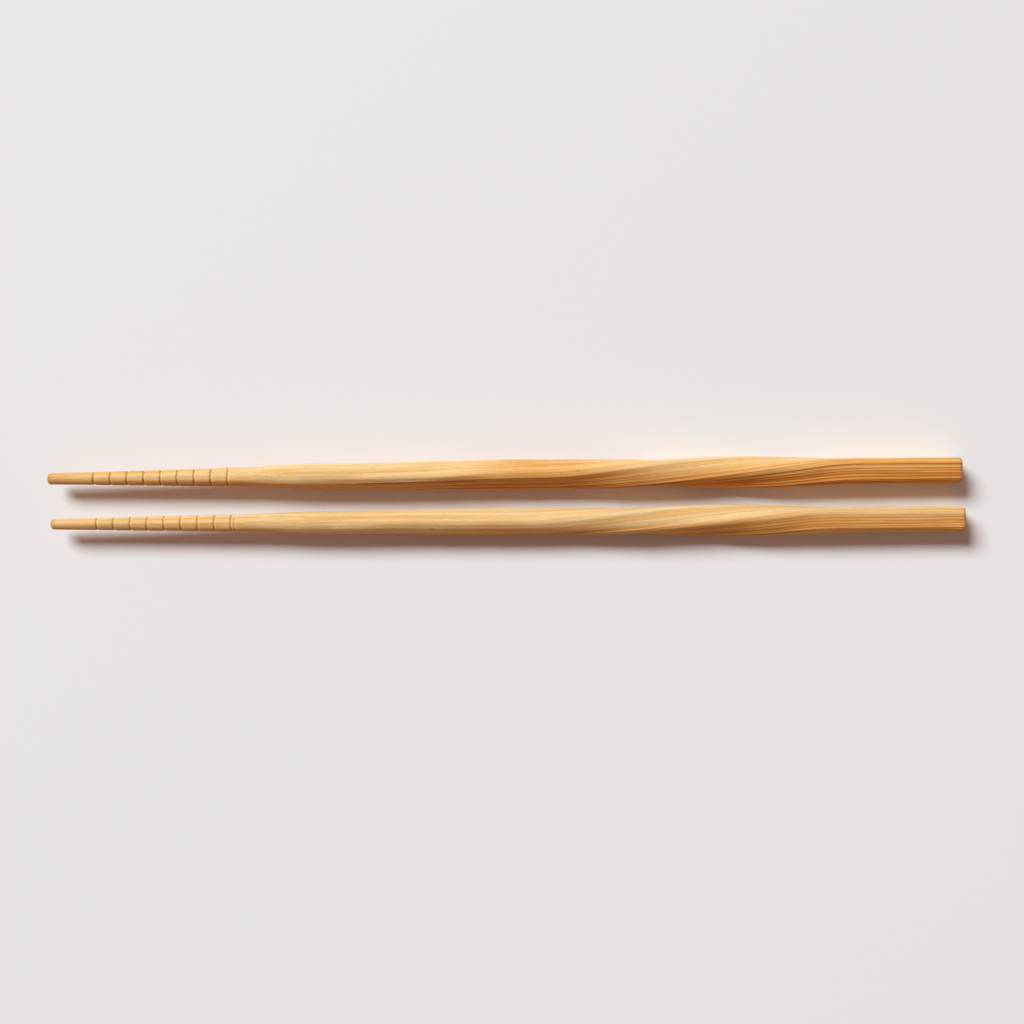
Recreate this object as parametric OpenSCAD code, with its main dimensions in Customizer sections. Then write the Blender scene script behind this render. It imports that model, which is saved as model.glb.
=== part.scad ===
// Pair of twisted bamboo chopsticks, lying side by side on a table.
// Each stick is one piece of bamboo: a turned tip with grooves, a soft round body,
// a square length that twists to the left, and a plain square handle.
// A stick runs along X from its tip at 0 to the end of its handle.
// Where the twist runs out into the body, the belly, two opposite corners of the square
// are sharp ridges and the other two are soft flanks.

/* [Pair] */
// Length of a stick from its tip to the end of its handle
stick_len = 240; // [200:1:270]
// Distance between the two centre lines at the tips
tip_spacing = 11.9; // [10:0.1:20]
// Distance between the two centre lines at the handle ends
end_spacing = 12.9; // [10:0.1:20]
// How far the front stick lies ahead of the back stick, toward the handle end
stagger = 0.8; // [0:0.1:6]

/* [Turned tip] */
// Diameter of the back stick's cone at the tip
back_tip_d = 2.95; // [2:0.01:4]
// Diameter of the front stick's cone at the tip
front_tip_d = 2.78; // [2:0.01:4]
// Radius of the rounded edge at the tip
tip_edge_r = 0.8; // [0.2:0.1:0.9]
// Diameter of the back stick's cone at the last groove
back_neck_d = 4.86; // [4:0.02:6]
// Diameter of the front stick's cone at the last groove
front_neck_d = 4.6; // [4:0.02:6]
// Number of grooves turned into the cone
groove_count = 9; // [2:1:12]
// Distance from the tip to the first groove
groove_start = 12.2; // [5:0.1:20]
// Distance from one groove to the next
groove_pitch = 4.4; // [2:0.1:6]
// Width of a groove at its mouth
groove_w = 0.7; // [0.3:0.05:1.2]
// Width of a groove at its floor
groove_floor_w = 0.3; // [0.1:0.05:0.3]
// Depth of a groove
groove_depth = 0.2; // [0.05:0.05:0.5]

/* [Body] */
// Length over which the back stick's slim neck swells to the body
back_shoulder_len = 21; // [15:1:35]
// Length over which the front stick's slim neck swells to the body
front_shoulder_len = 22; // [15:1:35]
// Width of the back stick where its body is round
back_body_w = 6.45; // [5.5:0.05:7.2]
// Width of the front stick where its body is round
front_body_w = 5.85; // [5.5:0.05:7.2]
// Corner radius of the round body, as a share of its half width
body_roundness = 0.96; // [0.8:0.01:0.98]
// Length over which the faces of the belly go on turning
tail_len = 47.5; // [20:0.5:60]
// Angle through which the back stick's belly goes on turning
back_tail_turn = 21; // [0:1:45]
// Angle through which the front stick's belly goes on turning
front_tail_turn = 0; // [0:1:45]

/* [Belly] */
// Corner radius that a ridge of the belly reaches as far as
ridge_r = 0.9; // [0.5:0.05:1.5]
// Corner radius that a flank of the back stick's belly reaches as far as
back_flank_r = 1.9; // [1.5:0.05:2.9]
// Corner radius that a flank of the front stick's belly reaches as far as
front_flank_r = 2.5; // [1.5:0.05:2.9]
// Radius of the arrises of the back stick's belly
back_belly_arris_r = 1.5; // [0.4:0.05:1.6]
// Radius of the arrises of the front stick's belly
front_belly_arris_r = 0.8; // [0.4:0.05:1.6]
// How far the back stick's upper ridge is sanded down toward a circle
back_sanding = 0.25; // [0:0.05:0.8]
// How far the front stick's upper ridge is sanded down toward a circle
front_sanding = 0.65; // [0:0.05:0.8]

/* [Twist and handle] */
// Width of the square handle across its flats
handle_w = 6.7; // [6:0.02:8]
// Corner radius of the square handle
handle_corner_r = 1.7; // [1.1:0.05:2.5]
// Length of the plain handle of the back stick
back_handle_len = 29.5; // [15:0.5:50]
// Length of the plain handle of the front stick
front_handle_len = 36; // [15:0.5:50]
// Length over which the square twists
twist_len = 84; // [60:1:95]
// Angle through which the square twists
twist_turn = 140; // [135:1:180]
// Length over which the twist sets in at the handle
handle_ease = 4.5; // [1:0.5:15]
// Length over which the twist runs out at the belly
belly_ease = 20; // [5:0.5:30]
// Radius of the arrises halfway along the twist
arris_r = 1.2; // [0.4:0.05:1.6]
// Radius of the rounded edge at the end of the handle
end_edge_r = 0.9; // [0.3:0.1:1]
// Height of the shallow dome at the end of the handle
end_dome = 0.2; // [0.1:0.1:0.6]

/* [Hidden] */

bamboo = [0.87, 0.67, 0.43];

// Fineness of the round surfaces
turned_sides = 64;
edge_steps = 5;
body_steps = 24;
twist_steps = 38;

// Points on each half of a side of a section, and how closely they gather at its corners
half_steps = 5;
gather = 1.7;
ring_count = 8 * half_steps;

diagonal = sqrt(2);

// The turned tip ends at the far wall of its last groove, and its core runs on into the body
last_groove = groove_start + (groove_count - 1) * groove_pitch;
neck_at = last_groove + groove_w / 2;
core_overlap = 2;

// Length in which the twist would be made at a steady rate
twist_run = twist_len - (handle_ease + belly_ease) / 2;

dome_at = stick_len - end_dome;
yaw = atan((end_spacing - tip_spacing) / 2 / stick_len);

// Angle of the belly's upper ridge on the section of the handle
upper_ridge = 315;

// Angles of the twist at which a ridge and a flank point straight down
ridge_down = 135;
flank_down = 45;

function mix(a, b, share) = a + (b - a) * share;

// Share from 0 to 1 that starts and stops gently
function gentle(share) =
    let (t = max(0, min(1, share)))
    t * t * (3 - 2 * t);

// Places from one end of a stretch to the other, without the first
function steps(from, to, count) = [for (i = [1 : count]) mix(from, to, i / count)];

// Share of the twist that is made at a distance into it
function twist_share(into) =
    let (d = max(0, min(twist_len, into)))
    let (left = twist_len - d)
    d < handle_ease ? d * d / (2 * handle_ease) / twist_run
    : left < belly_ease ? 1 - left * left / (2 * belly_ease) / twist_run
    : (d - handle_ease / 2) / twist_run;

// Distance into the twist at which a share of it is made, past where it sets in
function twist_into(share) =
    let (left = sqrt((1 - share) * 2 * belly_ease * twist_run))
    left < belly_ease ? twist_len - left : share * twist_run + handle_ease / 2;

// How far a corner of the square stands out from the centre line
function corner_reach(half, corner_r) = half * diagonal - corner_r * (diagonal - 1);

// Angle of a point of a section
function ring_angle(j) =
    let (side = floor(j / (2 * half_steps)))
    let (t = (j % (2 * half_steps)) / half_steps - 1)
    90 * side + 45 + 45 * sign(t) * abs(t) ^ gather;

// Distance from the centre to the edge of a square with round arrises,
// which falls away toward its corners
function edge_at(phi, half, arris, fall) =
    let (from_face = min(phi % 90, 90 - phi % 90))
    let (flat = half - arris)
    let (to_arris = flat * (cos(from_face) + sin(from_face)))
    let (on_face = half * tan(from_face) <= flat)
    let (square_r = on_face ? half / cos(from_face)
        : to_arris + sqrt(max(0, to_arris ^ 2 - 2 * flat ^ 2 + arris ^ 2)))
    square_r - fall * sin(2 * phi) ^ 2;

// A section, turned about the centre line, at a distance from the tip
function section(x, half, arris, ridge_fall, flank_fall, sanded, turn) =
    [for (j = [0 : ring_count - 1])
        let (phi = ring_angle(j))
        let (fall = floor(phi / 90) % 2 == 1 ? ridge_fall : flank_fall)
        let (upper = (1 + cos(phi - upper_ridge)) / 2)
        let (r = mix(edge_at(phi, half, arris, fall), half, sanded * upper))
        [x, r * cos(phi + turn), r * sin(phi + turn)]];

// Closed skin over a row of sections, flat at the first one and pointed to the apex at the last
module loft(rings, apex) {
    last = len(rings) - 1;
    apex_index = len(rings) * ring_count;

    function at(ring, j) = ring * ring_count + j % ring_count;

    polyhedron(
        points = [for (ring = rings) each ring, apex],
        faces = [
            [for (j = [0 : ring_count - 1]) j],
            for (i = [0 : last - 1], j = [0 : ring_count - 1]) each [
                [at(i, j), at(i + 1, j), at(i + 1, j + 1)],
                [at(i, j), at(i + 1, j + 1), at(i, j + 1)]
            ],
            for (j = [0 : ring_count - 1]) [at(last, j + 1), at(last, j), apex_index]
        ]
    );
}

// Turned cone with a rounded tip and a row of grooves
module turned_tip(tip_d, neck_d) {
    function cone_r(x) = mix(tip_d, neck_d, x / neck_at) / 2;
    function groove_mouth(x, side) = [cone_r(x + side * groove_w / 2), x + side * groove_w / 2];
    function groove_floor(x, side) = [cone_r(x) - groove_depth, x + side * groove_floor_w / 2];

    edge_out = cone_r(tip_edge_r) - tip_edge_r;
    core_r = cone_r(last_groove) - groove_depth;

    rotate([0, 90, 0])
        rotate_extrude($fn = turned_sides)
            polygon([
                [0, 0],
                for (k = [0 : edge_steps])
                    let (a = 90 * k / edge_steps)
                    [edge_out + tip_edge_r * sin(a), tip_edge_r * (1 - cos(a))],
                for (i = [0 : groove_count - 2])
                    let (x = groove_start + i * groove_pitch)
                    each [
                        groove_mouth(x, -1),
                        groove_floor(x, -1),
                        groove_floor(x, 1),
                        groove_mouth(x, 1)
                    ],
                groove_mouth(last_groove, -1),
                groove_floor(last_groove, -1),
                [core_r, neck_at + core_overlap],
                [0, neck_at + core_overlap]
            ]);
}

// Round body, twist and square handle in one loft
module body_and_handle(
    neck_d, shoulder_len, body_w, tail_turn, flank_r, belly_arris_r, sanding, handle_len
) {
    shoulder_at = neck_at + shoulder_len;
    handle_from = stick_len - handle_len;
    twist_to = handle_from - twist_len;
    end_from = dome_at - end_edge_r;

    function made(x) = twist_share(handle_from - x);
    function turn_at(x) = twist_turn * made(x) + tail_turn * gentle((twist_to - x) / tail_len);

    function half_at(x) =
        x < shoulder_at ? mix(neck_d, body_w, gentle((x - neck_at) / shoulder_len)) / 2
        : mix(body_w, handle_w, gentle((x - shoulder_at) / (twist_to - shoulder_at))) / 2;

    // In the body a radius grows from that of the belly to the roundness of the neck
    function in_body(x, belly_r) =
        let (squared = gentle((x - neck_at) / (twist_to - neck_at)))
        mix(body_roundness * half_at(x), belly_r, squared);

    // The belly takes over from the middle of the twist on
    function belly_share(x) = gentle(2 * made(x) - 1);

    // Radius of the arrises, and the corner radius that a corner reaches as far as
    function arris_at(x) =
        x < twist_to ? in_body(x, belly_arris_r)
        : made(x) < 0.5 ? mix(handle_corner_r, arris_r, gentle(2 * made(x)))
        : mix(arris_r, belly_arris_r, belly_share(x));
    function reach_r_at(x, belly_r) =
        x < twist_to ? in_body(x, belly_r)
        : mix(handle_corner_r, belly_r, made(x));
    function fall_at(x, belly_r) = (diagonal - 1) * (reach_r_at(x, belly_r) - arris_at(x));

    function inset_at(x) =
        x > end_from ? end_edge_r - sqrt(max(0, end_edge_r ^ 2 - (x - end_from) ^ 2)) : 0;

    places = [
        neck_at,
        each steps(neck_at, twist_to, body_steps),
        each steps(twist_to, handle_from, twist_steps),
        for (k = [0 : edge_steps]) end_from + end_edge_r * sin(90 * k / edge_steps)
    ];
    rings = [
        for (x = places)
            section(
                x,
                half_at(x) - inset_at(x),
                arris_at(x) - inset_at(x),
                fall_at(x, ridge_r),
                fall_at(x, flank_r),
                sanding * belly_share(x),
                turn_at(x)
            )
    ];
    loft(rings, [stick_len, 0, 0]);
}

// Lays a stick on the ridge and the flank that point down in its twist
module lie_down(side, flank_r, handle_len) {
    function down_at(turn) = stick_len - handle_len - twist_into(turn / twist_turn);
    function down_reach(turn, belly_r) =
        corner_reach(handle_w / 2, mix(handle_corner_r, belly_r, turn / twist_turn));

    ridge_at = down_at(ridge_down);
    ridge_reach = down_reach(ridge_down, ridge_r);
    flank_at = down_at(flank_down);
    flank_reach = down_reach(flank_down, flank_r);
    tilt = atan((ridge_reach - flank_reach) / (flank_at - ridge_at));
    lift = ridge_at * sin(tilt) + ridge_reach * cos(tilt);

    translate([-(stick_len + side * stagger) / 2, side * tip_spacing / 2, lift])
        rotate([0, tilt, side * yaw])
            children();
}

module back_chopstick() {
    color(bamboo)
        lie_down(1, back_flank_r, back_handle_len) {
            turned_tip(back_tip_d, back_neck_d);
            body_and_handle(
                back_neck_d,
                back_shoulder_len,
                back_body_w,
                back_tail_turn,
                back_flank_r,
                back_belly_arris_r,
                back_sanding,
                back_handle_len
            );
        }
}

module front_chopstick() {
    color(bamboo)
        lie_down(-1, front_flank_r, front_handle_len) {
            turned_tip(front_tip_d, front_neck_d);
            body_and_handle(
                front_neck_d,
                front_shoulder_len,
                front_body_w,
                front_tail_turn,
                front_flank_r,
                front_belly_arris_r,
                front_sanding,
                front_handle_len
            );
        }
}

back_chopstick();
front_chopstick();
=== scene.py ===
"""Looks of a pair of twisted bamboo chopsticks that lie side by side on a pale table."""

import math

import bpy
import numpy as np
from mathutils import Matrix, Vector


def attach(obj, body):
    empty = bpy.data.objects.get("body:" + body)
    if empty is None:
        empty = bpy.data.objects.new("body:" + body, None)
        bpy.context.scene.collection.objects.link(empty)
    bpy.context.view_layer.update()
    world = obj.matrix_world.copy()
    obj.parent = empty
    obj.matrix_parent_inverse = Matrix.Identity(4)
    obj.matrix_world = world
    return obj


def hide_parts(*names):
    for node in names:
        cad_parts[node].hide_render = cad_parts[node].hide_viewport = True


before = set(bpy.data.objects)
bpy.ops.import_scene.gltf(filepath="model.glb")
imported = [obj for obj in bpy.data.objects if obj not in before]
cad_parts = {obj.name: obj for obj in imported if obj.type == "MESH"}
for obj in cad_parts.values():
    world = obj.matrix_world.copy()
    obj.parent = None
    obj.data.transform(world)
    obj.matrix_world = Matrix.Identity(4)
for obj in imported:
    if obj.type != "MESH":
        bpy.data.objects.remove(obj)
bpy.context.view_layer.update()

MM = 0.001

# Sizes that both sticks share, as in the solids
STICK_LEN = 240 * MM
TIP_SPACING = 11.9 * MM
END_SPACING = 12.9 * MM
STAGGER = 0.8 * MM
TIP_EDGE_R = 0.8 * MM
GROOVE_COUNT = 9
GROOVE_START = 12.2 * MM
GROOVE_PITCH = 4.4 * MM
GROOVE_W = 0.7 * MM
GROOVE_FLOOR_W = 0.3 * MM
GROOVE_DEPTH = 0.2 * MM
BODY_ROUNDNESS = 0.96
ARRIS_R = 1.2 * MM
RIDGE_R = 0.9 * MM
HANDLE_W = 6.7 * MM
HANDLE_CORNER_R = 1.7 * MM
TWIST_TURN = math.radians(140)
BELLY_EASE = 20 * MM
TAIL_LEN = 47.5 * MM
END_EDGE_R = 0.9 * MM
END_DOME = 0.2 * MM

# The twist sets in more gently than in the solids. Half of the added ease lies in the handle.
ADDED_EASE = 7.5 * MM
HANDLE_EASE = 4.5 * MM + ADDED_EASE
TWIST_LEN = 84 * MM + ADDED_EASE / 2

LAST_GROOVE = GROOVE_START + (GROOVE_COUNT - 1) * GROOVE_PITCH
NECK_AT = LAST_GROOVE + GROOVE_W / 2
DOME_AT = STICK_LEN - END_DOME
END_FROM = DOME_AT - END_EDGE_R
YAW = math.atan((END_SPACING - TIP_SPACING) / 2 / STICK_LEN)
DIAGONAL = math.sqrt(2)
TWIST_RUN = TWIST_LEN - (HANDLE_EASE + BELLY_EASE) / 2
UPPER_RIDGE = math.radians(315)

# What differs from stick to stick. Side is 1 for the back stick and -1 for the front one.
# Sanding is how far the upper ridge of the belly is taken down toward a circle.
# The bamboo is densest where it was nearest the skin of its cane. The toward angles say where that is
# in the section, one for the body and one for the handle, and the share weakens that side. The body's angle
# also puts the amber skin on the shaded lower side and the pale pith on the lit upper side: painted shade
# and painted highlight.
# The three shifts make the tip, the body and the handle denser all round, or paler if below 0.
# Golden is a run along the stick, from and to in mm, and how much more golden it is.
# Burn is how dark the grooves are burnt, and fine_lines are shallow cuts beside them.
# A stain has its start and end in mm, its angle and half width in degrees, and its depth.
STICKS = {
    "back_chopstick": {
        "side": 1,
        "tip_d": 2.95 * MM,
        "neck_d": 4.86 * MM,
        "shoulder_len": 21 * MM,
        "body_w": 6.45 * MM,
        "flank_r": 1.9 * MM,
        "belly_arris_r": 1.5 * MM,
        "sanding": 0.25,
        "handle_len": 29.5 * MM - ADDED_EASE / 2,
        "tail_turn": math.radians(21),
        "dense_and_shading_toward": (math.radians(77), math.radians(130)),
        "dense_and_shading_share": 1.0,
        "handle_shift": -0.12,
        "body_shift": 0.0,
        "tip_shift": 0.05,
        "golden": (92, 165, 0.7),
        "burn": 1.0,
        "fine_lines": [],
        "stains": [(66, 122, 322, 24, 0.85), (138.5, 139.6, 308, 4, 0.9)],
        "seed": 3,
    },
    "front_chopstick": {
        "side": -1,
        "tip_d": 2.78 * MM,
        "neck_d": 4.6 * MM,
        "shoulder_len": 22 * MM,
        "body_w": 5.85 * MM,
        "flank_r": 2.5 * MM,
        "belly_arris_r": 0.8 * MM,
        "sanding": 0.65,
        "handle_len": 36 * MM - ADDED_EASE / 2,
        "tail_turn": 0.0,
        "dense_and_shading_toward": (math.radians(72), math.radians(130)),
        "dense_and_shading_share": 0.75,
        "handle_shift": -0.7,
        "body_shift": -0.5,
        "tip_shift": -0.22,
        "golden": (92, 142, 0.8),
        "burn": 0.7,
        "fine_lines": [LAST_GROOVE + 0.85 * MM],
        "stains": [(71.7, 73.2, 336, 4, 0.8), (99.0, 100.5, 346, 4, 0.8)],
        "seed": 8,
    },
}

# Fineness of the meshes. The caps are the rings on the flat ends, as shares of the outermost one.
AROUND = 128
EDGE_RINGS = 7
TIP_RINGS = 20
GROOVE_RINGS = 19
LAND_RINGS = 7
FINE_LINE_RINGS = 11
SHOULDER_RINGS = 50
BODY_RINGS = 80
TWIST_RINGS = 150
HANDLE_RINGS = 30
TIP_CAPS = np.array([0.3, 0.65])
END_CAPS = np.array([0.8, 0.5, 0.22])
GROOVE_REACH = 0.55 * GROOVE_W
FINE_LINE_REACH = 0.4 * GROOVE_W

# How far the edges of the grooves wander, and how they are burnt, in patches
SLOW_WANDER = 0.015 * MM
QUICK_WANDER = 0.03 * MM
CHAR_HALF_W = 0.19 * MM
CHAR_FADE = 0.14 * MM
SLOW_PATCHES = 0.32
QUICK_PATCHES = 0.2
FINE_LINE_CUT = 0.4
SHALLOWEST_CHAR = 0.4

# How much darker the flat ends are, and how far up the tip that reaches. At the handle's end it is darker
# end grain and partly painted shade on the rounded edge.
END_GRAIN_AND_SHADE = 0.35
TIP_DARKENING = 0.6
TIP_DARK_LEN = 1.3 * MM
TIP_DARK_FADE = 1.1 * MM

# Lengths in mm of the waves that hand sanding leaves, the height of a wave of 1 mm, and the share at the tip
SANDED_WAVES = (9, 13, 19, 27, 41, 62)
SANDED_HEIGHT = 0.004 * MM
TIP_WAVE_SHARE = 0.2

# Where in mm the bamboo starts to look like that of the body and the handle, and over what length it changes
BODY_LOOK_FROM = 35
BODY_LOOK_OVER = 35
HANDLE_LOOK_FROM = 120
HANDLE_LOOK_OVER = 85

# Lengths in mm over which a golden run comes and goes, and the share of a stain over which it fades
GOLDEN_RISE = 35
GOLDEN_FADE = 30
STAIN_FADE = 0.6

# Step in mm from one seed to the next, so that each stick has its own part of the grain's pattern
GRAIN_STEP = np.array([0, 31, 17])


def mix(a, b, share):
    return a + (b - a) * share


def gentle(share):
    """Share from 0 to 1 that starts and stops gently."""
    t = np.clip(share, 0, 1)
    return t * t * (3 - 2 * t)


def twist_share(into):
    """Share of the twist that is made at a distance into it."""
    d = np.clip(into, 0, TWIST_LEN)
    left = TWIST_LEN - d
    setting_in = d * d / (2 * HANDLE_EASE) / TWIST_RUN
    running_out = 1 - left * left / (2 * BELLY_EASE) / TWIST_RUN
    steady = (d - HANDLE_EASE / 2) / TWIST_RUN
    return np.where(d < HANDLE_EASE, setting_in, np.where(left < BELLY_EASE, running_out, steady))


def twist_into(share):
    """Distance into the twist at which a share of it is made, past where it sets in."""
    left = math.sqrt((1 - share) * 2 * BELLY_EASE * TWIST_RUN)
    return TWIST_LEN - left if left < BELLY_EASE else share * TWIST_RUN + HANDLE_EASE / 2


def landmarks(stick):
    """Distances from the tip to the end of the shoulder, the end of the twist and the handle."""
    handle_from = STICK_LEN - stick["handle_len"]
    return NECK_AT + stick["shoulder_len"], handle_from - TWIST_LEN, handle_from


def carved_square(phi, half, arris_r, ridge_fall, flank_fall, sanded):
    """Distance from the centre to the edge of a square with crowned faces and small round arrises.

    Its upper ridge in the belly is sanded down toward a circle.
    """
    quadrant = np.floor(phi / (math.pi / 2)).astype(int) % 2
    fall = np.where(quadrant == 1, ridge_fall, flank_fall) * np.sin(2 * phi) ** 2
    across = np.maximum(np.abs(np.cos(phi)), np.abs(np.sin(phi)))
    along = np.minimum(np.abs(np.cos(phi)), np.abs(np.sin(phi)))
    flat = half - arris_r
    centre = flat * (across + along)
    on_arris = centre + np.sqrt(np.maximum(centre**2 - 2 * flat**2 + arris_r**2, 0))
    square = np.where(half * along / across <= flat, half / across, on_arris) - fall
    upper = (1 + np.cos(phi - UPPER_RIDGE)) / 2
    return mix(square, half, sanded * upper)


def stations(stick):
    """Distances from the tip at which a stick has a ring of points, dense where it changes fast."""
    shoulder_at, twist_to, handle_from = landmarks(stick)
    edge = np.linspace(0, math.pi / 2, EDGE_RINGS)
    grooves = GROOVE_START + GROOVE_PITCH * np.arange(GROOVE_COUNT)
    groove_side = np.linspace(-1, 1, GROOVE_RINGS) * GROOVE_REACH
    lands = GROOVE_REACH + np.linspace(0, 1, LAND_RINGS)[1:-1] * (GROOVE_PITCH - 2 * GROOVE_REACH)
    parts = [
        TIP_EDGE_R * (1 - np.cos(edge)),
        np.linspace(TIP_EDGE_R, GROOVE_START - GROOVE_REACH, TIP_RINGS),
        (grooves[:, None] + groove_side[None, :]).ravel(),
        (grooves[:-1, None] + lands[None, :]).ravel(),
        np.linspace(LAST_GROOVE + GROOVE_REACH, shoulder_at, SHOULDER_RINGS),
        np.linspace(shoulder_at, twist_to, BODY_RINGS),
        np.linspace(twist_to, handle_from, TWIST_RINGS),
        np.linspace(handle_from, END_FROM, HANDLE_RINGS),
        END_FROM + END_EDGE_R * np.sin(edge),
    ]
    for line_at in stick["fine_lines"]:
        parts.append(line_at + np.linspace(-1, 1, FINE_LINE_RINGS) * FINE_LINE_REACH)
    return np.unique(np.round(np.concatenate(parts), 9))


def rounded_off(radius, into):
    """How far a rounded edge has drawn in at a distance into it."""
    return radius - np.sqrt(np.maximum(radius**2 - np.maximum(into, 0) ** 2, 0))


def section_along(stick, x):
    """Turn of the section along a stick, and the sizes that carved_square takes."""
    shoulder_at, twist_to, handle_from = landmarks(stick)
    made = twist_share(handle_from - x)
    turn = TWIST_TURN * made + stick["tail_turn"] * gentle((twist_to - x) / TAIL_LEN)
    body_half = np.where(
        x < shoulder_at,
        mix(stick["neck_d"], stick["body_w"], gentle((x - NECK_AT) / stick["shoulder_len"])) / 2,
        mix(stick["body_w"], HANDLE_W, gentle((x - shoulder_at) / (twist_to - shoulder_at))) / 2,
    )
    squared = gentle((x - NECK_AT) / (twist_to - NECK_AT))
    belly_share = gentle(2 * made - 1)
    rounding = BODY_ROUNDNESS * body_half
    twist_arris_r = mix(HANDLE_CORNER_R, ARRIS_R, gentle(2 * made))
    arris_r = np.where(
        x < twist_to,
        mix(rounding, stick["belly_arris_r"], squared),
        mix(twist_arris_r, stick["belly_arris_r"], belly_share),
    )
    end_inset = rounded_off(END_EDGE_R, x - END_FROM)
    tip_inset = rounded_off(TIP_EDGE_R, TIP_EDGE_R - x)
    cone = mix(stick["tip_d"], stick["neck_d"], x / NECK_AT) / 2 - tip_inset
    half = np.where(x < NECK_AT, cone, body_half - end_inset)
    falls = []
    for belly_r in (RIDGE_R, stick["flank_r"]):
        soft_r = np.where(
            x < twist_to,
            mix(rounding, belly_r, squared),
            mix(HANDLE_CORNER_R, belly_r, made),
        )
        falls.append(np.where(x < NECK_AT, 0, (DIAGONAL - 1) * (soft_r - arris_r)))
    arris_r = np.where(x < NECK_AT, cone, arris_r - end_inset)
    return turn, (half, arris_r, falls[0], falls[1], stick["sanding"] * belly_share)


def grooves_cut(stick, x, phi):
    """Depth of the grooves, and how far they are burnt, at each point of a stick."""
    draw = np.random.default_rng(100 + stick["seed"])

    def lobes(fewest, most):
        return np.sin(draw.integers(fewest, most) * phi + draw.uniform(0, 6.28))

    cuts = [(GROOVE_START + GROOVE_PITCH * i, 1.0) for i in range(GROOVE_COUNT)]
    cuts += [(line_at, FINE_LINE_CUT) for line_at in stick["fine_lines"]]
    depth = np.zeros((len(x), len(phi)))
    burnt = np.zeros((len(x), len(phi)))
    for cut_at, strength in cuts:
        ragged = SLOW_WANDER * lobes(2, 5)
        ragged += QUICK_WANDER * lobes(11, 19)
        patchy = 1 - SLOW_PATCHES * (1 - lobes(2, 6))
        patchy *= 1 - QUICK_PATCHES * (1 - lobes(9, 17))
        from_cut = np.abs(x[:, None] - cut_at - ragged[None, :])
        floor = gentle((GROOVE_W / 2 - from_cut) / (GROOVE_W - GROOVE_FLOOR_W) * 2)
        char = gentle((CHAR_HALF_W - from_cut) / CHAR_FADE) * patchy[None, :]
        depth = np.maximum(depth, GROOVE_DEPTH * strength * floor)
        burnt = np.maximum(burnt, stick["burn"] * mix(SHALLOWEST_CHAR, 1, strength) * char)
    return depth, burnt


def stains_on(stick, x, phi):
    """Dark streaks and flecks in the bamboo."""
    stain = np.zeros((len(x), len(phi)))
    for start, stop, angle, half_angle, deep in stick["stains"]:
        middle = (start + stop) / 2 * MM
        half_len = (stop - start) / 2 * MM
        along = gentle((half_len - np.abs(x - middle)) / (half_len * STAIN_FADE))
        off = np.abs((np.degrees(phi) - angle + 180) % 360 - 180)
        stain = np.maximum(stain, deep * along[:, None] * gentle(1 - off / half_angle)[None, :])
    return stain


def unevenness(stick, x, phi):
    """Slight waves that hand sanding leaves, weaker on the turned tip."""
    draw = np.random.default_rng(stick["seed"])
    uneven = np.zeros((len(x), len(phi)))
    for wave in SANDED_WAVES:
        lobes = draw.integers(0, 4)
        start = draw.uniform(0, 2 * math.pi)
        swing = np.sin(2 * math.pi * x[:, None] / (wave * MM) + lobes * phi[None, :] + start)
        uneven += SANDED_HEIGHT * wave**0.5 * swing
    share = mix(TIP_WAVE_SHARE, 1, gentle(x / NECK_AT))
    return uneven * share[:, None]


def way_around(section_rho, phi):
    """Distance around a section to each of its points, from the middle of its underside."""
    points = np.stack([section_rho * np.cos(phi), section_rho * np.sin(phi)], -1)
    steps = np.linalg.norm(np.roll(points, -1, 0) - points, axis=1)
    along = np.cumsum(steps) - steps
    underside = along[AROUND * 3 // 4]
    return (along - underside) % steps.sum()


def density_and_shading(stick, grain):
    """How dense the bamboo is, from pale pith below 0 to the cane's skin at 1; it also paints shading."""
    along = grain[:, 0]
    into_body = gentle((along - BODY_LOOK_FROM) / BODY_LOOK_OVER)
    into_handle = gentle((along - HANDLE_LOOK_FROM) / HANDLE_LOOK_OVER)
    # The body's angle puts the amber skin on the shaded lower side and the pith on the lit upper side:
    # painted shade and painted highlight.
    toward = mix(*stick["dense_and_shading_toward"], into_handle)
    dense_and_shading = (grain[:, 1] * np.cos(toward) + grain[:, 2] * np.sin(toward)) * MM / (HANDLE_W / 2)
    start, stop, amount = stick["golden"]
    golden = amount * gentle((along - start) / GOLDEN_RISE) * gentle((stop - along) / GOLDEN_FADE)
    body_shift = mix(stick["tip_shift"], stick["body_shift"], into_body)
    shift = mix(body_shift, stick["handle_shift"], into_handle)
    dense_and_shading = dense_and_shading + shift + golden * gentle(0.5 - dense_and_shading)
    return np.where(dense_and_shading > 0, dense_and_shading * stick["dense_and_shading_share"], dense_and_shading)


def lie_down(stick):
    """Tilt and lift of a stick that rests on the two corners that point down in its twist."""
    handle_from = STICK_LEN - stick["handle_len"]
    rests = []
    for turn, belly_r in ((135, RIDGE_R), (45, stick["flank_r"])):
        share = math.radians(turn) / TWIST_TURN
        soft_r = mix(HANDLE_CORNER_R, belly_r, share)
        reach = HANDLE_W / 2 * DIAGONAL - soft_r * (DIAGONAL - 1)
        rests.append((handle_from - twist_into(share), reach))
    (belly_x, belly_reach), (twist_x, twist_reach) = rests
    tilt = math.atan((belly_reach - twist_reach) / (twist_x - belly_x))
    return tilt, belly_x * math.sin(tilt) + belly_reach * math.cos(tilt)


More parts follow.
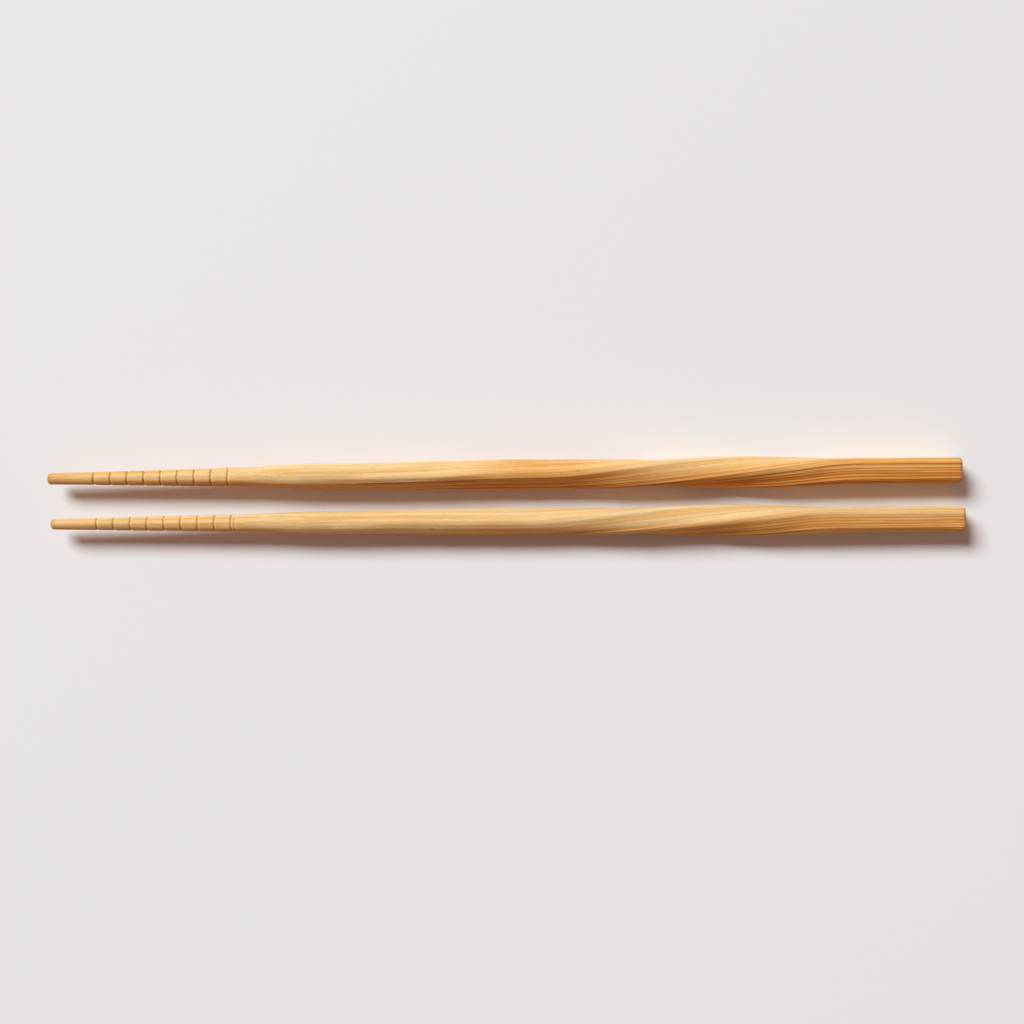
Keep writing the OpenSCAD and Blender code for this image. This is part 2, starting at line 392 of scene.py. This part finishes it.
def laid(stick, points):
    """Points of a stick along the X axis, moved to where it lies, none of them in the table."""
    tilt, lift = lie_down(stick)
    side = stick["side"]
    x = points[:, 0] * math.cos(tilt) + points[:, 2] * math.sin(tilt)
    z = points[:, 2] * math.cos(tilt) - points[:, 0] * math.sin(tilt)
    y = points[:, 1]
    cos_yaw, sin_yaw = math.cos(side * YAW), math.sin(side * YAW)
    return np.stack(
        [
            x * cos_yaw - y * sin_yaw - (STICK_LEN + side * STAGGER) / 2,
            x * sin_yaw + y * cos_yaw + side * TIP_SPACING / 2,
            np.maximum(z + lift, 0),
        ],
        -1,
    )


def capped(rings):
    """Values of the rings, with those of the first and last repeated on the flat ends."""
    first = np.repeat(rings[:1], len(TIP_CAPS), 0)
    last = np.repeat(rings[-1:], len(END_CAPS), 0)
    return np.concatenate([first, rings, last])


def skin_faces(rings):
    """Faces between neighbouring rings, and fans to the middle points that close the two ends."""
    i, j = np.meshgrid(np.arange(rings - 1), np.arange(AROUND), indexing="ij")
    k = (j + 1) % AROUND
    corners = [i * AROUND + j, i * AROUND + k, (i + 1) * AROUND + k, (i + 1) * AROUND + j]
    faces = np.stack(corners, -1).reshape(-1, 4).tolist()
    tip, end = rings * AROUND, rings * AROUND + 1
    last = (rings - 1) * AROUND
    for a in range(AROUND):
        b = (a + 1) % AROUND
        faces.append([tip, b, a])
        faces.append([end, last + a, last + b])
    return faces


def keep_attribute(mesh, name, kind, field, values):
    attribute = mesh.attributes.new(name, kind, "POINT")
    attribute.data.foreach_set(field, np.asarray(values, np.float32).ravel())


def stick_mesh(name, stick):
    """Mesh of one stick in its place, with what its bamboo is like kept as attributes.

    The grain attribute is each point's place in mm in the untwisted blank.
    """
    x = stations(stick)
    phi = np.linspace(0, 2 * math.pi, AROUND, endpoint=False)
    turn, section = section_along(stick, x)
    rho = carved_square(phi[None, :], *[size[:, None] for size in section])
    groove_depth, burnt = grooves_cut(stick, x, phi)
    rho = rho - groove_depth + unevenness(stick, x, phi)
    stain = stains_on(stick, x, phi)
    end_share = gentle((x - END_FROM) / END_EDGE_R)
    sawn = end_share + gentle(1 - x / TIP_EDGE_R)
    # Darker end grain at the handle's end, partly painted shade on its rounded edge, and a darker tip
    end_shade_and_tip_dark = END_GRAIN_AND_SHADE * end_share + TIP_DARKENING * gentle((TIP_DARK_LEN - x) / TIP_DARK_FADE)
    burnt = np.maximum(burnt, end_shade_and_tip_dark[:, None])
    in_handle = np.searchsorted(x, STICK_LEN - stick["handle_len"] / 2)
    around = way_around(rho[in_handle], phi)

    x = np.concatenate([0 * TIP_CAPS, x, DOME_AT + END_DOME * (1 - END_CAPS**2)])
    rho = np.concatenate([TIP_CAPS[:, None] * rho[:1], rho, END_CAPS[:, None] * rho[-1:]])
    turn, burnt, stain, sawn = [capped(rings) for rings in (turn, burnt, stain, sawn)]

    rings = len(x)
    along = np.repeat(x[:, None], AROUND, 1)
    twisted = phi[None, :] + turn[:, None]
    ends = np.array([[0, 0, 0], [STICK_LEN, 0, 0]])
    points = np.stack([along, rho * np.cos(twisted), rho * np.sin(twisted)], -1).reshape(-1, 3)
    grain = np.stack([along, rho * np.cos(phi), rho * np.sin(phi)], -1).reshape(-1, 3)
    points = np.concatenate([points, ends])
    grain = np.concatenate([grain, ends]) / MM

    mesh = bpy.data.meshes.new(name + "_skin")
    mesh.from_pydata(laid(stick, points).tolist(), [], skin_faces(rings))
    mesh.update()
    mesh.shade_smooth()
    seed = stick["seed"]
    values = {
        "around": np.append(np.tile(around, rings), [0, 0]) / MM + seed,
        "dense_and_shading": density_and_shading(stick, grain),
        "stain": np.append(stain.ravel(), [0, 0]),
        "burnt": np.append(burnt.ravel(), [burnt[0, 0], burnt[-1, 0]]),
        "sawn": np.append(np.repeat(sawn, AROUND), [1, 1]),
    }
    keep_attribute(mesh, "grain", "FLOAT_VECTOR", "vector", grain + GRAIN_STEP * seed)
    for attribute, value in values.items():
        keep_attribute(mesh, attribute, "FLOAT", "value", value)
    return mesh


class Wire:
    """An output of a shader node, usable in sums."""

    def __init__(self, finish, socket):
        self.finish = finish
        self.socket = socket

    def other(self, output):
        """Another output of the same node."""
        return Wire(self.finish, self.socket.node.outputs[output])

    def math(self, operation, first, second):
        return self.finish.node("ShaderNodeMath", {"operation": operation}, {0: first, 1: second})

    def __add__(self, other):
        return self.math("ADD", self, other)

    __radd__ = __add__

    def __sub__(self, other):
        return self.math("SUBTRACT", self, other)

    def __rsub__(self, other):
        return self.math("SUBTRACT", other, self)

    def __mul__(self, other):
        return self.math("MULTIPLY", self, other)

    __rmul__ = __mul__


class Finish:
    """The node tree of one material or of the world."""

    def __init__(self, owner):
        owner.use_nodes = True
        self.tree = owner.node_tree
        self.tree.nodes.clear()

    def node(self, kind, settings=None, inputs=None, output=0):
        """Adds a node, sets it up, feeds its sockets and returns one of its outputs."""
        made = self.tree.nodes.new(kind)
        for name, value in (settings or {}).items():
            setattr(made, name, value)
        for name, value in (inputs or {}).items():
            if isinstance(value, Wire):
                self.tree.links.new(value.socket, made.inputs[name])
            else:
                made.inputs[name].default_value = value
        return Wire(self, made.outputs[output]) if made.outputs else made

    def attribute(self, name, output="Fac"):
        return self.node("ShaderNodeAttribute", {"attribute_name": name}, output=output)

    def stretched(self, vector, along, across):
        return self.node(
            "ShaderNodeVectorMath",
            {"operation": "MULTIPLY"},
            {0: vector, 1: (along, across, across)},
        )

    def noise(self, vector, along, across, detail=2.0, roughness=0.5):
        return self.node(
            "ShaderNodeTexNoise",
            None,
            {
                "Vector": self.stretched(vector, along, across),
                "Scale": 1.0,
                "Detail": detail,
                "Roughness": roughness,
            },
        )

    def between(self, value, low, high):
        """Share of the way from low to high, which may be the smaller of the two."""
        return self.node(
            "ShaderNodeMapRange",
            {"interpolation_type": "SMOOTHSTEP"},
            {"Value": value, "From Min": low, "From Max": high},
        )

    def blend(self, share, first, second, kind="MIX"):
        return self.node(
            "ShaderNodeMix",
            {"data_type": "RGBA", "blend_type": kind, "clamp_factor": True},
            {0: share, 6: first, 7: second},
            output=2,
        )

    def chance(self, cells):
        """A number from 0 to 1 for each cell of a Voronoi texture."""
        return self.node("ShaderNodeSeparateColor", None, {"Color": cells.other("Color")}, output="Red")


def srgb(red, green, blue):
    """Colour from its screen values of 0 to 255, as the linear values that a shader takes."""
    def linear(value):
        c = value / 255
        return c / 12.92 if c <= 0.04045 else ((c + 0.055) / 1.055) ** 2.4

    return (linear(red), linear(green), linear(blue), 1.0)


CREAM = srgb(243, 210, 158)
PITH = srgb(233, 177, 100)
GOLD = srgb(238, 181, 108)
DEEP_GOLD = srgb(214, 144, 66)
AMBER = srgb(242, 171, 90)
DEEP_AMBER = srgb(212, 130, 50)
FIBRE = srgb(146, 70, 10)
SCORCHED = srgb(182, 98, 26)
FIBRE_TINT = (0.80, 0.68, 0.48, 1.0)
TABLE = srgb(240, 235, 233)
BACKDROP = srgb(232, 228, 225)
DIM_ROOM = (0.232, 0.143, 0.122, 1.0)
LAMPLIGHT = (0.85, 0.965, 1.0)


def bamboo_material():
    """Sanded bamboo: pale pith, amber fibre bundles that run along the twist, burnt grooves, painted
    shading.
    """
    material = bpy.data.materials.new("bamboo")
    f = Finish(material)
    straight = f.attribute("grain", "Vector")
    around = f.attribute("around")
    dense_and_shading = f.attribute("dense_and_shading")
    burnt = f.attribute("burnt")
    stain = f.attribute("stain")
    sawn = f.attribute("sawn")

    # Patterns in the grain, long along the stick and fine across it
    sway = f.noise(straight, 0.02, 0.2, detail=1.0).other("Color")
    grain = f.node(
        "ShaderNodeVectorMath",
        {"operation": "MULTIPLY_ADD"},
        {0: sway, 1: (0.0, 0.6, 0.6), 2: straight},
    )
    bundle = f.node(
        "ShaderNodeTexVoronoi",
        {"feature": "F1"},
        {"Vector": f.stretched(grain, 0.006, 2.2), "Scale": 1.0, "Randomness": 0.85},
        output="Distance",
    )
    streak = f.noise(grain, 0.009, 1.15, detail=3.0, roughness=0.65)
    fine = f.noise(grain, 0.06, 6.5, detail=2.0, roughness=0.6)
    dash = f.noise(grain, 0.45, 7.0, detail=1.0)
    cloud = f.noise(straight, 0.03, 0.22, detail=1.0)
    line = f.node(
        "ShaderNodeTexVoronoi",
        {"voronoi_dimensions": "1D", "feature": "F1"},
        {"W": around * 1.45 + cloud * 0.8, "Scale": 1.0, "Randomness": 0.75},
        output="Distance",
    )
    lines = f.between(line, 0.25, 0.09) * (0.45 + f.chance(line) * 0.55)
    core = f.between(bundle + f.chance(bundle) * 0.12, 0.50, 0.30)
    pores = f.between(dash, 0.66, 0.76)

    # The ground, from pale pith through gold to the amber skin, laid to paint a highlight above and shade
    # below
    rich = dense_and_shading + (cloud - 0.5) * 0.6
    bright = f.between(streak, 0.74, 0.38)
    striped = f.between(streak, 0.64, 0.40)
    pith = f.blend(bright, PITH, CREAM)
    middle = f.blend(bright * 0.6 + striped * 0.4, DEEP_GOLD, GOLD)
    skin = f.blend(striped, DEEP_AMBER, AMBER)
    inner = f.blend(f.between(rich, -0.8, 0.15), pith, middle)
    ground = f.blend(f.between(rich, 0.2, 0.95), inner, skin)

    # Fibres and marks on it. On the sawn ends the bundles show as dots instead of lines.
    fibres = f.blend(f.between(fine, 0.40, 0.70) * 0.55, ground, FIBRE_TINT, "MULTIPLY")
    bundled = f.between(dense_and_shading, -0.5, 0.7)
    cored = f.blend(core * (0.08 + bundled * 0.30 + sawn * 0.45), fibres, FIBRE)
    lined = f.blend(lines * (0.14 + bundled * 0.96) * (1 - sawn), cored, FIBRE)
    pitted = f.blend(pores * 0.4, lined, FIBRE)
    stained = f.blend(stain * f.between(streak, 0.3, 0.6), pitted, FIBRE)
    # Burnt grooves, a darker tip, and at the handle's end darker end grain that is partly painted shade
    colour = f.blend(burnt, stained, SCORCHED)

    bump = f.node(
        "ShaderNodeBump",
        None,
        {"Strength": 0.5, "Distance": 0.04 * MM, "Height": fine * 0.6 - core * 0.6 - pores * 0.4},
    )
    shader = f.node(
        "ShaderNodeBsdfPrincipled",
        None,
        {
            "Base Color": colour,
            "Roughness": 0.42 + fine * 0.25,
            "Normal": bump,
            "Specular IOR Level": 0.04,
            "Subsurface Weight": 0.15,
            "Subsurface Radius": (1.0, 0.4, 0.12),
            "Subsurface Scale": 1.0 * MM,
        },
    )
    f.node("ShaderNodeOutputMaterial", None, {"Surface": shader})
    return material


def table_material():
    material = bpy.data.materials.new("pale_table")
    f = Finish(material)
    shader = f.node(
        "ShaderNodeBsdfPrincipled",
        None,
        {"Base Color": TABLE, "Roughness": 0.9, "Specular IOR Level": 0.1},
    )
    f.node("ShaderNodeOutputMaterial", None, {"Surface": shader})
    return material


def add_table():
    half = 1.2
    mesh = bpy.data.meshes.new("table")
    corners = [(-half, -half, 0), (half, -half, 0), (half, half, 0), (-half, half, 0)]
    mesh.from_pydata(corners, [], [(0, 1, 2, 3)])
    mesh.materials.append(table_material())
    table = bpy.data.objects.new("table", mesh)
    bpy.context.scene.collection.objects.link(table)


def add_lamp(name, toward, distance, width, height, power, colour):
    """A soft lamp that faces the middle of the pair, its width along the sticks."""
    lamp = bpy.data.lights.new(name, "AREA")
    lamp.shape = "ELLIPSE"
    lamp.size = width
    lamp.size_y = height
    lamp.energy = power
    lamp.color = colour
    lamp_object = bpy.data.objects.new(name, lamp)
    direction = Vector(toward).normalized()
    sideways = (Vector((1, 0, 0)) - direction * direction.x).normalized()
    upward = direction.cross(sideways)
    lamp_object.location = direction * distance
    lamp_object.rotation_euler = Matrix((sideways, upward, direction)).transposed().to_euler()
    bpy.context.scene.collection.objects.link(lamp_object)


def add_light():
    """One soft lamp from the far left, and a dim, warm room that is pale where it is seen."""
    add_lamp(
        "soft_lamp",
        toward=(-0.80, 0.86, 1.0),
        distance=10.0,
        width=5.5,
        height=3.75,
        power=1312,
        colour=LAMPLIGHT,
    )
    world = bpy.data.worlds.new("dim_room")
    bpy.context.scene.world = world
    f = Finish(world)
    path = f.node("ShaderNodeLightPath", output="Is Camera Ray")
    seen = path + path.other("Is Glossy Ray") + path.other("Is Transmission Ray")
    room = f.node("ShaderNodeBackground", None, {"Color": DIM_ROOM, "Strength": 1.0})
    backdrop = f.node("ShaderNodeBackground", None, {"Color": BACKDROP, "Strength": 1.0})
    shown = f.node("ShaderNodeMixShader", None, {0: seen, 1: room, 2: backdrop})
    f.node("ShaderNodeOutputWorld", None, {"Surface": shown})


def add_camera():
    """Looks straight down on the pair, as in the photograph."""
    frame_px = 1024
    sticks_px = 909.3
    centre_px = (507.0, 498.1)
    m_per_px = STICK_LEN / sticks_px
    roll = math.radians(0.44)
    lens = 50
    sensor = 36
    view_w = frame_px * m_per_px
    camera = bpy.data.cameras.new("camera")
    camera.lens = lens
    camera.sensor_width = sensor
    camera_object = bpy.data.objects.new("camera", camera)
    off_x = (frame_px / 2 - centre_px[0]) * m_per_px
    off_y = (centre_px[1] - frame_px / 2) * m_per_px
    camera_object.location = (
        off_x * math.cos(roll) + off_y * math.sin(roll),
        off_y * math.cos(roll) - off_x * math.sin(roll),
        view_w * lens / sensor + HANDLE_W / 2,
    )
    camera_object.rotation_euler = (0, 0, -roll)
    bpy.context.scene.collection.objects.link(camera_object)
    bpy.context.scene.camera = camera_object


bpy.context.scene.view_settings.view_transform = "Standard"
add_camera()
add_table()
add_light()

bamboo = bamboo_material()
for name, stick in STICKS.items():
    mesh = stick_mesh(name, stick)
    mesh.materials.append(bamboo)
    piece = bpy.data.objects.new(name + "_bamboo", mesh)
    bpy.context.scene.collection.objects.link(piece)
    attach(piece, "root")
    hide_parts(name)
